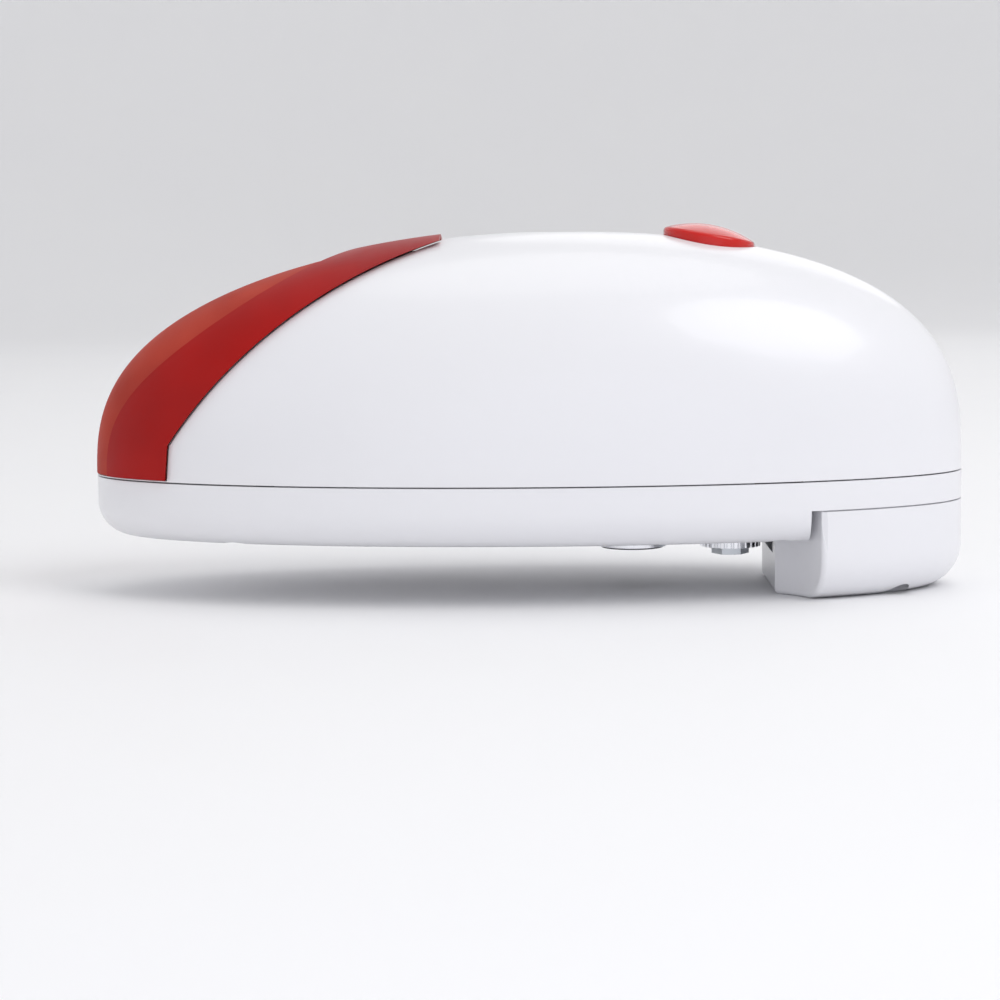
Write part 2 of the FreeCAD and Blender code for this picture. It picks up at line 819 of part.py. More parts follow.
def switch():
    body = box(
        ("button_x - switch_half", "-switch_half", BOARD_TOP),
        ("button_x + switch_half", "switch_half", SWITCH_TOP),
    )
    well = cylinder("plunger_radius + 0.2", f"{BOARD_TOP} + 0.6", SWITCH_TOP, "button_x")
    node("switch_body", cut(body, well))
    plunger_low, plunger_high = f"{SWITCH_TOP} - plunger_in", f"{SWITCH_TOP} + plunger_out"
    node("switch_plunger", cylinder("plunger_radius", plunger_low, plunger_high, "button_x"))
    board = box(
        ("button_x - board_half_length", "-board_half_width", BOARD_BOTTOM),
        ("button_x + board_half_length", "board_half_width", BOARD_TOP),
    )
    holes = []
    pegs = []
    for x, y in BOARD_PEGS:
        holes.append(cylinder("peg_radius", BOARD_BOTTOM, BOARD_TOP, x, y))
        foot = cylinder("standoff_radius", TOP_PLATE_TOP, BOARD_BOTTOM, x, y)
        pegs.append(join(foot, cylinder("peg_radius", BOARD_BOTTOM, f"{BOARD_TOP} + 0.8", x, y)))
    node("circuit_board", cut(board, *holes))
    node("board_standoffs", group(*pegs))


# ---------------------------------------------------------------- gears

PRESSURE = math.radians(20)


def involute(angle):
    return math.tan(angle) - angle


def gear_outline(teeth, module, turn):
    """A closed outline of spur teeth, with one tooth centred at the angle turn (degrees)."""
    pitch = module * teeth / 2
    base = pitch * math.cos(PRESSURE)
    tip = pitch + 0.8 * module
    root = pitch - 1.15 * module
    half_pitch = math.pi / (2 * teeth) - size("tooth_slack") / (2 * pitch) - 0.04 / teeth
    flank = [max(base, root), tip] if teeth > 30 else [max(base, root), (base + tip) / 2, tip]
    if base > root:
        flank.insert(0, root)
    sides = []
    for radius in flank:
        slope = math.acos(min(1.0, base / max(radius, base)))
        sides.append((radius, half_pitch + involute(PRESSURE) - involute(slope)))
    points = []
    for tooth in range(teeth):
        centre = math.radians(turn) + 2 * math.pi * tooth / teeth
        for radius, half in sides:
            points.append((radius, centre - half))
        for radius, half in reversed(sides):
            points.append((radius, centre + half))
    corners = [FreeCAD.Vector(r * math.cos(a), r * math.sin(a), 0) for r, a in points]
    return Part.Face(Part.makePolygon(corners + corners[:1]))


def gear(teeth, module, thick, turn):
    """A spur gear as a shape of its own, standing on z = 0 around its axis."""
    thing = doc.addObject("Part::Feature", "Gear")
    thing.Shape = gear_outline(teeth, module, turn).extrude(FreeCAD.Vector(0, 0, size(thick)))
    return thing


def meshed(turn, teeth, direction, other_teeth):
    """The turn that a second gear needs so that its teeth fit the first one's along direction."""
    return direction + 180 - (turn - direction) * teeth / other_teeth - 180 / other_teeth


MOTOR_TEETH = 10
FIRST_TEETH = (50, 12)
SECOND_TEETH = (48, 12)
THIRD_TEETH = (44, 12)
FINAL_TEETH = 36
CLUTCH_TEETH = 20
FIRST_MODULE = 0.5
SECOND_MODULE = 0.6
THIRD_MODULE = 0.7
FINAL_MODULE = 1.0


SPINDLE = ("spindle_x", "0")
THIRD_WAY = 151.1
SECOND_WAY = 270.0
FIRST_WAY = 160.5
MOTOR_WAY = 140.0
THIRD_AXLE = offset(SPINDLE, FINAL_MODULE * (FINAL_TEETH + THIRD_TEETH[1]) / 2, THIRD_WAY)
SECOND_AXLE = offset(THIRD_AXLE, THIRD_MODULE * (THIRD_TEETH[0] + SECOND_TEETH[1]) / 2, SECOND_WAY)
FIRST_AXLE = offset(SECOND_AXLE, SECOND_MODULE * (SECOND_TEETH[0] + FIRST_TEETH[1]) / 2, FIRST_WAY)
MOTOR = offset(FIRST_AXLE, FIRST_MODULE * (FIRST_TEETH[0] + MOTOR_TEETH) / 2, MOTOR_WAY)

FINAL_Z = f"({BASE_PLATE_TOP} + 0.8)"
THIRD_Z = f"({FINAL_Z} + 6.6)"
SECOND_Z = f"({THIRD_Z} + 4.4)"
FIRST_Z = "(motor_face + 2.8)"


def compound_gear(name, axle, wheel, pinion, wheel_z, pinion_z, wheel_turn, hub_low, hub_high):
    """A wheel and a pinion moulded on one hub, which turns on a fixed axle."""
    x, y = axle
    wheel_teeth, wheel_module, wheel_thick = wheel
    pinion_teeth, pinion_module, pinion_thick = pinion
    big = place(gear(wheel_teeth, wheel_module, wheel_thick, wheel_turn), (x, y, wheel_z))
    small = place(gear(pinion_teeth, pinion_module, pinion_thick, 0), (x, y, pinion_z))
    hub = cylinder("gear_hub", hub_low, hub_high, x, y)
    bore = cylinder("axle_radius + fit", f"{hub_low} - 1", f"{hub_high} + 1", x, y)
    node(name, cut(join(big, small, hub), bore))


def gear_train():
    first_turn = meshed(0, MOTOR_TEETH, MOTOR_WAY - 180, FIRST_TEETH[0])
    second_turn = meshed(0, FIRST_TEETH[1], FIRST_WAY - 180, SECOND_TEETH[0])
    third_turn = meshed(0, SECOND_TEETH[1], SECOND_WAY - 180, THIRD_TEETH[0])
    final_turn = meshed(0, THIRD_TEETH[1], THIRD_WAY - 180, FINAL_TEETH)
    clutch_turn = meshed(0, CLUTCH_TEETH, 0, CLUTCH_TEETH)
    compound_gear(
        "first_gear", FIRST_AXLE, (FIRST_TEETH[0], FIRST_MODULE, "2.4"),
        (FIRST_TEETH[1], SECOND_MODULE, "3.2"), FIRST_Z, SECOND_Z, first_turn,
        f"{SECOND_Z} - 0.4", "top_plate_bottom - 0.6",
    )
    compound_gear(
        "second_gear", SECOND_AXLE, (SECOND_TEETH[0], SECOND_MODULE, "3"),
        (SECOND_TEETH[1], THIRD_MODULE, "3.6"), SECOND_Z, THIRD_Z, second_turn,
        f"{THIRD_Z} - 0.4", "top_plate_bottom - 0.6",
    )
    compound_gear(
        "third_gear", THIRD_AXLE, (THIRD_TEETH[0], THIRD_MODULE, "3.4"),
        (THIRD_TEETH[1], FINAL_MODULE, "6"), THIRD_Z, FINAL_Z, third_turn,
        f"{BASE_PLATE_TOP} + 0.4", "top_plate_bottom - 0.6",
    )
    x, y = SPINDLE
    final = place(gear(FINAL_TEETH, FINAL_MODULE, "5.8", final_turn), (x, y, FINAL_Z))
    node("final_gear", cut(join(final, cylinder("5.5", FINAL_Z, f"{FINAL_Z} + 8", x)),
                           cylinder("spindle_radius", BASE_PLATE_TOP, "top_plate_bottom", x)))
    driver = place(gear(CLUTCH_TEETH, FINAL_MODULE, "clutch_gear_thick", 0), (x, y, "clutch_gear_bottom"))
    node("clutch_drive_gear", cut(driver, cylinder("spindle_radius", "belly", "base_plate_bottom", x)))
    driven = gear(CLUTCH_TEETH, FINAL_MODULE, "clutch_gear_thick", clutch_turn)
    place(driven, (TURRET_X, "0", "clutch_gear_bottom"))
    node("clutch_gear", cut(driven, cylinder("hub_radius + fit", "belly", "base_plate_bottom", TURRET_X)))
    pinion = place(gear(MOTOR_TEETH, FIRST_MODULE, "3", 0), (*MOTOR, "motor_face + 2.5"))
    node("motor_pinion", cut(pinion, cylinder("motor_shaft", "motor_face", "top_plate_bottom", *MOTOR)))
    axles = [
        cylinder("axle_radius", "base_plate_bottom", TOP_PLATE_TOP, *place_of)
        for place_of in (FIRST_AXLE, SECOND_AXLE, THIRD_AXLE)
    ]
    node("gear_axles", group(*axles))


# ---------------------------------------------------------------- gearbox frame


def plates():
    half = "plate_narrow"
    wide = "plate_wide"
    outline = [
        ("-2", f"-{wide}"),
        ("30", f"-{wide}"),
        ("45", f"-{half}"),
        ("65", f"-{half}"),
        ("65", half),
        ("45", half),
        ("30", wide),
        ("-2", wide),
    ]
    base = prism("XY_Plane", outline, "base_plate_bottom", BASE_PLATE_TOP)
    upper_outline = [("-21", "-6"), *outline, ("-21", half)]
    upper = prism("XY_Plane", upper_outline, "top_plate_bottom", TOP_PLATE_TOP)
    for name, plate, low, high in (
        ("gearbox_base_plate", base, "base_plate_bottom", BASE_PLATE_TOP),
        ("gearbox_top_plate", upper, "top_plate_bottom", TOP_PLATE_TOP),
    ):
        holes = [cylinder("screw_radius + fit", low, high, x, y) for x, y in GEARBOX_POSTS]
        for axle in (FIRST_AXLE, SECOND_AXLE, THIRD_AXLE):
            holes.append(cylinder("axle_radius", low, high, *axle))
        if name == "gearbox_base_plate":
            holes.append(cylinder("spindle_radius + gap", low, high, "spindle_x"))
            holes.append(cylinder("motor_radius + 0.9", low, high, *MOTOR))
        else:
            holes.append(cylinder("upper_bushing", low, high, "spindle_x"))
            for y in BRACKET_SCREW_YS:
                holes.append(cylinder("screw_radius", low, high, "bracket_ear_x", y))
        node(name, cut(plate, *holes))
    spacers = []
    screws = []
    for x, y in GEARBOX_POSTS:
        spacers.append(tube("spacer_radius", "screw_radius + fit", BASE_PLATE_TOP, "top_plate_bottom", x, y))
        screws.append(screw(x, y, TOP_PLATE_TOP, "foot_top + wall + 1"))
    node("gearbox_spacers", group(*spacers))
    node("gearbox_screws", group(*screws))


# ---------------------------------------------------------------- motor


def flat_round(radius, flat, bottom, top):
    """A cylinder around the motor's axis with two flats across it."""
    x, y = MOTOR
    block = box((f"{x} - 20", f"{y} - {flat}", bottom), (f"{x} + 20", f"{y} + {flat}", top))
    return shared(cylinder(radius, bottom, top, x, y), block)


def motor():
    x, y = MOTOR
    top = "motor_face"
    cap_top = f"{MOTOR_BOTTOM} + motor_cap"
    inside = f"{top} - motor_shell"
    screw_spots = [(x, f"{y} + {side} * motor_screw_spread") for side in ("1", "-1")]
    shell = join(
        flat_round("motor_radius", "motor_flat", cap_top, top),
        cylinder("motor_bearing", top, f"{top} + 1.4", x, y),
    )
    can = cut(
        shell,
        flat_round("motor_radius - motor_shell", "(motor_flat - motor_shell)", cap_top, inside),
        cylinder("motor_shaft + fit", cap_top, f"{top} + 2", x, y),
        *[cylinder("motor_screw", inside, top, *spot) for spot in screw_spots],
    )
    node("motor_can", can)
    cap = join(
        flat_round("motor_radius", "motor_flat", MOTOR_BOTTOM, cap_top),
        cylinder("motor_bearing", f"{MOTOR_BOTTOM} - 1.2", MOTOR_BOTTOM, x, y),
    )
    node("motor_end_cap", cut(cap, cylinder("motor_shaft + fit", f"{MOTOR_BOTTOM} - 0.5", cap_top, x, y)))
    tabs = []
    for shift in ("6.5", "-6.5"):
        low = (f"{x} + {shift} - 0.2", f"{y} - 1.2", f"{MOTOR_BOTTOM} - 3")
        tabs.append(box(low, (f"{x} + {shift} + 0.2", f"{y} + 1.2", MOTOR_BOTTOM)))
    node("motor_terminals", group(*tabs))

    magnet_low, magnet_high = f"{cap_top} + 3", f"{top} - 4"
    magnet_outer = "motor_radius - motor_shell"
    ring = tube(magnet_outer, f"{magnet_outer} - motor_magnet_thick", magnet_low, magnet_high, x, y)
    sides = []
    for near, far in (("4", "12"), ("-12", "-4")):
        low = (f"{x} + {near}", f"{y} - motor_magnet_half", magnet_low)
        high = (f"{x} + {far}", f"{y} + motor_magnet_half", magnet_high)
        sides.append(shared(ring, box(low, high)))
    node("motor_magnets", group(*sides))

    stack = f"{cap_top} + 4"
    armature = join(
        cylinder("armature_radius", stack, f"{top} - 5", x, y),
        cylinder("commutator_radius", f"{cap_top} + 0.6", stack, x, y),
    )
    node("motor_armature", cut(armature, cylinder("motor_shaft", cap_top, top, x, y)))
    node("motor_shaft", cylinder("motor_shaft", f"{MOTOR_BOTTOM} - 0.4", f"{top} + 5.8", x, y))
    bracket(screw_spots)


def bracket(screw_spots):
    """The sheet bracket that hangs the motor from the top plate, and its screws."""
    x, y = MOTOR
    low = "motor_face"
    high = f"{low} + plate_thick"
    ceiling = "top_plate_bottom"
    left = "bracket_left"
    face = cylinder("motor_radius + 0.4", low, high, x, y)
    arm = box((left, f"{y} - 5", low), (x, f"{y} + 5", high))
    leg = box((left, f"{y} - 8", low), (f"{left} + plate_thick", f"{y} + 8", ceiling))
    ear = box((left, f"{y} - 8", f"{ceiling} - plate_thick"), (f"{left} + 5.4", f"{y} + 8", ceiling))
    holes = [cylinder("motor_bearing + fit", low, high, x, y)]
    screws = []
    for spot in screw_spots:
        holes.append(cylinder("motor_screw + fit", low, high, *spot))
        head = cylinder("1.8", high, f"{high} + 0.9", *spot)
        screws.append(join(head, cylinder("motor_screw", f"{low} - motor_shell", high, *spot)))
    for screw_y in BRACKET_SCREW_YS:
        tip = f"{ceiling} - 3"
        holes.append(cylinder("screw_radius + fit", tip, ceiling, "bracket_ear_x", screw_y))
        screws.append(screw("bracket_ear_x", screw_y, TOP_PLATE_TOP, tip))
    node("motor_bracket", cut(join(face, arm, leg, ear), *holes))
    node("motor_screws", group(*screws))


# ---------------------------------------------------------------- spindle, turret, cutter


def spindle():
    x = "spindle_x"
    shaft = cylinder("spindle_radius", "wheel_top", TOP_PLATE_TOP, x)
    stub = cylinder("spindle_stub", "wheel_bottom - 1.8", "wheel_top", x)
    node("drive_spindle", join(shaft, stub))
    wheel = cylinder("wheel_radius", "wheel_bottom", "wheel_top", x)
    grooves = []
    for number in range(DRIVE_WHEEL_GROOVES):
        groove_x, groove_y = offset(SPINDLE, "wheel_radius", f"{360 * number / DRIVE_WHEEL_GROOVES:.3f}")
        grooves.append(cylinder("wheel_groove", "wheel_bottom - 1", "wheel_top + 1", groove_x, groove_y))
    bore = cylinder("spindle_stub", "wheel_bottom", "wheel_top", x)
    node("drive_wheel", cut(wheel, bore, join(*grooves)))
    nut = doc.addObject("Part::Prism", "Nut")
    nut.Polygon = 6
    bind(nut, Circumradius="nut_radius", Height="nut_thick")
    place(nut, (x, "0", "wheel_bottom - nut_thick"))
    node("wheel_nut", cut(nut, cylinder("spindle_stub", "wheel_bottom - 2", "wheel_bottom", x)))

    shoulder = "belly + lower_bushing_long"
    lower = cut(
        join(
            cylinder("lower_bushing", "belly", shoulder, x),
            cylinder("lower_bushing + 1.6", shoulder, f"{shoulder} + plate_thick", x),
        ),
        cylinder("spindle_radius + fit", "belly", f"{shoulder} + 2", x),
    )
    upper = cut(
        join(
            cylinder("upper_bushing", "top_plate_bottom", TOP_PLATE_TOP, x),
            cylinder("upper_bushing + 1.1", "top_plate_bottom - 1", "top_plate_bottom", x),
        ),
        cylinder("spindle_radius + fit", "top_plate_bottom - 1", f"{TOP_PLATE_TOP} + 1", x),
    )
    node("spindle_bushings", group(lower, upper))


def cutter_place():
    """Where the cutter's pin stands at rest, as a pair of expressions."""
    return offset((TURRET_X, "0"), "eccentricity", "(180 - cutter_travel)")


def turret():
    x = TURRET_X
    pin = cutter_place()
    disc = cylinder("turret_radius", "turret_bottom", "turret_top", x)
    arm = doc.addObject("Part::Box", "Arm")
    bind(arm, Length="arm_reach", Width="arm_width", Height="turret_top - turret_bottom - 1")
    swing = size("-cutter_travel / 2")
    arm.Placement.Rotation = FreeCAD.Rotation(FreeCAD.Vector(0, 0, 1), swing)
    half_arm = "arm_width / 2"
    arm_x = f"{x} + {half_arm} * sin({swing:.3f})"
    arm_y = f"-{half_arm} * cos({swing:.3f})"
    place(arm, (arm_x, arm_y, "turret_bottom + 0.8"))
    hub = cylinder("hub_radius", "turret_top", "base_plate_bottom - 0.4", x)
    root_top = "turret_bottom + pin_root_long"
    socket = cylinder("pin_root", "turret_bottom", root_top, *pin)
    node("cutter_turret", cut(join(disc, arm, hub), socket))
    low = "cutter_bottom - gap"
    head_low = f"{low} - pin_head_thick"
    shank = join(
        cylinder("pin_root", "turret_bottom", root_top, *pin),
        cylinder("pin_radius", low, "turret_bottom", *pin),
        cylinder("pin_shoulder", "belly - 0.5", "turret_bottom", *pin),
        cylinder("pin_head", head_low, low, *pin),
    )
    slot_end = (f"{pin[0]} + 3", f"{pin[1]} + 0.4", f"{head_low} + 0.7")
    driver_slot = box((f"{pin[0]} - 3", f"{pin[1]} - 0.4", "0"), slot_end)
    node("cutter_pin", cut(shank, driver_slot))
    gear_top = "clutch_gear_bottom + clutch_gear_thick"
    washer_top = f"{gear_top} + gap + 0.4"
    node("clutch_washer", tube("hub_radius + 3", "hub_radius", f"{gear_top} + gap", washer_top, x))
    node("clutch_clip", tube("hub_radius + 1.8", "hub_radius", washer_top, f"{washer_top} + 0.5", x))
    sleeve = join(
        cylinder("hub_radius + 2", "foot_top", "foot_top + 3", x),
        cylinder("hub_radius + 3", "foot_top + 3", "foot_top + 3.6", x),
    )
    node("turret_bushing", cut(sleeve, cylinder("hub_radius + fit", "foot_top - 1", "foot_top + 5", x)))
    pins = []
    for stop_x, stop_y in stop_pins():
        pins.append(cylinder("stop_radius", "turret_bottom + 1", "foot_top + wall", stop_x, stop_y))
    node("turret_stop_pins", group(*pins))


def cutter_wheel():
    """A thin wheel with a sharp edge, on a hub that turns on the pin."""
    pin = cutter_place()
    edge_z = "cutter_bottom + 0.4 + cutter_edge"
    inner = "cutter_radius - cutter_bevel"
    blade = join(
        cone(inner, "cutter_radius", f"{edge_z} - cutter_edge", edge_z, *pin),
        cone("cutter_radius", inner, edge_z, f"{edge_z} + cutter_edge", *pin),
        cylinder("cutter_hub", "cutter_bottom", "belly - 0.8", *pin),
    )
    node("cutter_wheel", cut(blade, cylinder("pin_radius + fit", "0", "turret_bottom", *pin)))


def rim_tools():
    """The magnet that lifts the lid, its cup, and the steel guide that the can's rim bears on."""
    x = "magnet_x"
    magnet_top = "belly - 1"
    cup = cylinder("magnet_radius + 1", "magnet_bottom + 0.4", "belly", x)
    node("magnet_cup", cut(cup, cylinder("magnet_radius", "magnet_bottom", magnet_top, x)))
    node("lid_magnet", cylinder("magnet_radius", "magnet_bottom", magnet_top, x))
    near, far = "magnet_x + magnet_radius + 1.5", "foot_inner_x - 0.6"
    outline = ((near, "-9"), (far, "-13"), (far, "13"), (near, "9"))
    plate = prism("XY_Plane", outline, "belly - guide_thick", "belly")
    node("rim_guide", cut(plate, cylinder("wheel_radius + 0.8", "belly - 2", "belly + 1", "spindle_x")))


def fasteners():
    body_screws = [screw_up(x, y, "belly + 6", "parting + 10") for x, y in HOUSING_SCREWS]
    node("housing_screws", group(*body_screws))
    foot_screws = [screw_up(x, y, "foot_head_z", "foot_top + 4.8") for x, y in FOOT_SCREWS]
    node("foot_screws", group(*foot_screws))


# ---------------------------------------------------------------- build and write

upper_housing()
lower_housing()
cutter_housing()
battery_cover()
battery_bay()
power_button()
switch()
gear_train()
plates()
motor()
spindle()
turret()
cutter_wheel()
rim_tools()
fasteners()
doc.recompute()

for thing in doc.Objects:
    if "Invalid" in thing.State or "Error" in thing.State:
        raise RuntimeError(f"{thing.Name} ({thing.Label}) failed: {thing.State}")
os.makedirs("parts", exist_ok=True)
for name, thing in nodes.items():
    if thing.Shape.isNull() or not thing.Shape.isValid() or not thing.Shape.Solids:
        raise RuntimeError(f"{name} has no valid solid")
for name, thing in nodes.items():
    thing.Shape.exportStep(f"parts/{name}.step")
print(len(nodes), "nodes written")
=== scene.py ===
import json
import math

import bmesh
import bpy
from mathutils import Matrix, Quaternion, Vector


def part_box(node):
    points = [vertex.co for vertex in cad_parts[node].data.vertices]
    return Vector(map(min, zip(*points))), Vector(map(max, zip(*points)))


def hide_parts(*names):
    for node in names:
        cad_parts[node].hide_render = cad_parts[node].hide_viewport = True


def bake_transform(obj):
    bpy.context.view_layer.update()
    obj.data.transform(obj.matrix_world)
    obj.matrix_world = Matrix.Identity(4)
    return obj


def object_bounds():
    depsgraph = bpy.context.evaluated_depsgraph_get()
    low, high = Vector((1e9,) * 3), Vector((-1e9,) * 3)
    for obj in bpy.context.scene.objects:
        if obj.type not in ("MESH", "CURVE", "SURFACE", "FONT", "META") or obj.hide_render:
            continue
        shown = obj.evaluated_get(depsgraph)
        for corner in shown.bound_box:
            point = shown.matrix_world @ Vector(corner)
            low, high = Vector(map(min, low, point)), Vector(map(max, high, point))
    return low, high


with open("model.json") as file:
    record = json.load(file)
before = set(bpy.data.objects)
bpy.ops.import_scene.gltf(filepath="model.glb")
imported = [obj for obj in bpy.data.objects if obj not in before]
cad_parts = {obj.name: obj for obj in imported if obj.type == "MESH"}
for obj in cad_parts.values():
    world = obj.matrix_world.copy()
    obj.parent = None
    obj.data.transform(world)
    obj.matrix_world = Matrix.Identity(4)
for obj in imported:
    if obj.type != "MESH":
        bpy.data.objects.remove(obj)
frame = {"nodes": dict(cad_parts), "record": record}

# Hands-free electric can opener: a white shell with a red battery cover and a red button.
# The CAD nodes keep their shapes and get their finishes here. A second spring stands in for
# the button's. A floor, lights and a camera follow.

MM = 0.001
cad_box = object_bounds()
low, high = cad_box
middle = (low + high) / 2


def linear(red, green, blue):
    """A colour written as screen values from 0 to 255, as the renderer wants it."""
    channels = []
    for value in (red, green, blue):
        share = value / 255
        channels.append(share / 12.92 if share <= 0.04045 else ((share + 0.055) / 1.055) ** 2.4)
    return (*channels, 1.0)


def lighter(colour, factor):
    """A colour made lighter by a factor, as far as white goes."""
    return tuple(min(1.0, channel * factor) for channel in colour)


# ---------------------------------------------------------------- materials

# How sharp a corner must be to get the painted edge highlight.
RING_PERIOD = 0.32  # about the metres between the wave texture's rings when its scale is 1
FLAT_POINTINESS = 0.53  # a face this even gets none of the painted highlight
SHARP_POINTINESS = 0.62  # a corner this sharp gets the painted highlight in full


class Finish:
    """A procedural material, with the nodes for mottled colour, uneven gloss and a fine relief."""

    def __init__(self, name, metallic=0.0, coat=0.0, coat_roughness=0.05):
        self.material = bpy.data.materials.new(name)
        self.material.use_nodes = True
        self.tree = self.material.node_tree
        self.shader = self.tree.nodes["Principled BSDF"]
        self.shader.inputs["Metallic"].default_value = metallic
        self.shader.inputs["Coat Weight"].default_value = coat
        self.shader.inputs["Coat Roughness"].default_value = coat_roughness
        self.place = self.add("ShaderNodeTexCoord").outputs["Object"]

    def add(self, kind, **settings):
        made = self.tree.nodes.new(kind)
        for key, value in settings.items():
            setattr(made, key, value)
        return made

    def link(self, source, target):
        self.tree.links.new(source, target)

    def moved(self, centre, scale=(1, 1, 1)):
        """Object coordinates counted from a centre and stretched."""
        mapping = self.add("ShaderNodeMapping")
        mapping.inputs["Location"].default_value = [-c * s for c, s in zip(centre, scale)]
        mapping.inputs["Scale"].default_value = scale
        self.link(self.place, mapping.inputs["Vector"])
        return mapping.outputs["Vector"]

    def noise(self, size, detail=3.0, place=None):
        """Noise whose features are about size metres across."""
        made = self.add("ShaderNodeTexNoise")
        made.inputs["Scale"].default_value = 1 / size
        made.inputs["Detail"].default_value = detail
        self.link(place or self.place, made.inputs["Vector"])
        return made.outputs["Fac"]

    def rings(self, centre, spacing):
        """Turned grooves around a vertical axis."""
        made = self.add("ShaderNodeTexWave", wave_type="RINGS", rings_direction="Z")
        made.inputs["Scale"].default_value = RING_PERIOD / spacing
        made.inputs["Distortion"].default_value = 0.4
        self.link(self.moved(centre), made.inputs["Vector"])
        return made.outputs["Fac"]

    def stretch(self, value, from_low, from_high, to_low, to_high):
        """A value's range carried over to another range."""
        made = self.add("ShaderNodeMapRange")
        for socket, number in zip(made.inputs[1:5], (from_low, from_high, to_low, to_high)):
            socket.default_value = number
        self.link(value, made.inputs[0])
        return made.outputs[0]

    def blend(self, share, first, second):
        """A mix of two colours, each a colour or another node's output."""
        made = self.add("ShaderNodeMix", data_type="RGBA")
        self.link(share, made.inputs["Factor"])
        for socket, colour in ((made.inputs[6], first), (made.inputs[7], second)):
            if isinstance(colour, tuple):
                socket.default_value = colour
            else:
                self.link(colour, socket)
        return made.outputs[2]

    def math(self, operation, first, second):
        """A sum on two values, each a number or another node's output."""
        made = self.add("ShaderNodeMath", operation=operation)
        for socket, value in zip(made.inputs, (first, second)):
            if isinstance(value, (int, float)):
                socket.default_value = value
            else:
                self.link(value, socket)
        return made.outputs[0]

    def colour(self, source):
        self.link(source, self.shader.inputs["Base Color"])

    def gloss(self, size, smooth, rough, detail=4.0):
        """Roughness that wanders between two values over patches of a size."""
        patches = self.noise(size, detail)
        wandering = self.stretch(patches, 0.3, 0.7, smooth, rough)
        self.link(wandering, self.shader.inputs["Roughness"])

    def relief(self, height, depth, below=None):
        """Bump of a depth in metres, on top of another bump if there is one."""
        bump = self.add("ShaderNodeBump")
        bump.inputs["Distance"].default_value = depth
        bump.inputs["Strength"].default_value = 1.0
        self.link(height, bump.inputs["Height"])
        if below is not None:
            self.link(below, bump.inputs["Normal"])
        self.link(bump.outputs["Normal"], self.shader.inputs["Normal"])
        return bump.outputs["Normal"]

    def painted_edge_highlight(self, base, edge, amount):
        """Painted highlight: corners made lighter than the faces around them, where light would
        catch them.
        """
        edges = self.add("ShaderNodeNewGeometry").outputs["Pointiness"]
        share = self.stretch(edges, FLAT_POINTINESS, SHARP_POINTINESS, 0.0, amount)
        return self.blend(share, base, edge)


def gloss_plastic(name, light, dark, smooth, rough, coat=0.3):
    """Smooth moulded plastic: faint orange peel, a few darker specks and uneven gloss."""
    finish = Finish(name, coat=coat)
    cloud = finish.stretch(finish.noise(60 * MM, 0.0), 0.2, 0.8, 0.0, 1.0)
    speck = finish.stretch(finish.noise(0.5 * MM, 2.0), 0.66, 0.8, 0.0, 0.3)
    finish.colour(finish.blend(speck, finish.blend(cloud, light, dark), dark))
    finish.gloss(30 * MM, smooth, rough, 1.0)
    peel = finish.relief(finish.noise(2.5 * MM, 1.0), 0.008 * MM)
    finish.relief(finish.noise(0.3 * MM, 2.0), 0.001 * MM, peel)
    return finish


def matt_plastic(name, light, dark, rough=0.5, grain=0.25 * MM, depth=0.012 * MM):
    """Plastic from a spark-eroded mould, with a fine grain and a painted highlight on its corners.
    """
    finish = Finish(name)
    cloud = finish.stretch(finish.noise(12 * MM, 3.0), 0.35, 0.65, 0.0, 1.0)
    base = finish.blend(cloud, light, dark)
    # Painted highlight: the corners are coloured lighter, where light would catch them.
    finish.colour(finish.painted_edge_highlight(base, lighter(light, 1.35), 0.5))
    finish.gloss(6 * MM, rough - 0.06, rough + 0.08)
    finish.relief(finish.noise(grain, 3.0), depth)
    return finish


ROLLED = (60, 900, 900)
POLISHED_ALL_WAYS = (900, 900, 900)
CAST = (400, 400, 400)
GRAIN_UNIT = 1000  # the grain that leaves the noise at its own size


def metal(name, light, dark, smooth, rough, grain=ROLLED, depth=0.002 * MM):
    """Metal with a painted highlight on its corners. Grain says how finely its surface is streaked
    each way.
    """
    finish = Finish(name, metallic=1.0)
    drawn = finish.moved((0, 0, 0), [fineness / GRAIN_UNIT for fineness in grain])
    streaks = finish.noise(0.6 * MM, 4.0, drawn)
    cloud = finish.stretch(finish.noise(7 * MM, 4.0), 0.35, 0.7, 0.0, 1.0)
    base = finish.blend(cloud, light, dark)
    # Painted highlight: the corners are coloured lighter, where light would catch them.
    finish.colour(finish.painted_edge_highlight(base, lighter(light, 1.25), 0.7))
    finish.gloss(3 * MM, smooth, rough)
    finish.relief(streaks, depth)
    return finish


def turned_metal(name, node, light, dark, smooth, rough, spacing=0.35 * MM):
    """Metal turned on a lathe: fine rings around the upright line through the node's middle."""
    finish = Finish(name, metallic=1.0)
    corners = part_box(node)
    centre = (corners[0] + corners[1]) / 2
    cloud = finish.stretch(finish.noise(5 * MM, 4.0), 0.35, 0.7, 0.0, 1.0)
    base = finish.blend(cloud, light, dark)
    # Painted highlight: the corners are coloured lighter, where light would catch them.
    finish.colour(finish.painted_edge_highlight(base, lighter(light, 1.3), 0.8))
    finish.gloss(2 * MM, smooth, rough)
    finish.relief(finish.rings((centre.x, centre.y, 0), spacing), 0.006 * MM)
    return finish


WHITE = linear(241, 241, 244)
WHITE_SHADE = linear(239, 239, 243)
STEEL = linear(206, 208, 212)
STEEL_SHADE = linear(176, 178, 184)
BRIGHT_STEEL = linear(222, 223, 226)
ZINC = linear(196, 200, 204)
ZINC_SHADE = linear(160, 166, 174)


# The cover's panel is a lens between two arcs, given as shares of the cover's length and width.
PANEL_MIDDLE = 0.317
PANEL_TIP = 0.770
PANEL_HALF_WIDTH = 0.3366
PANEL_EDGE = 0.25 * MM


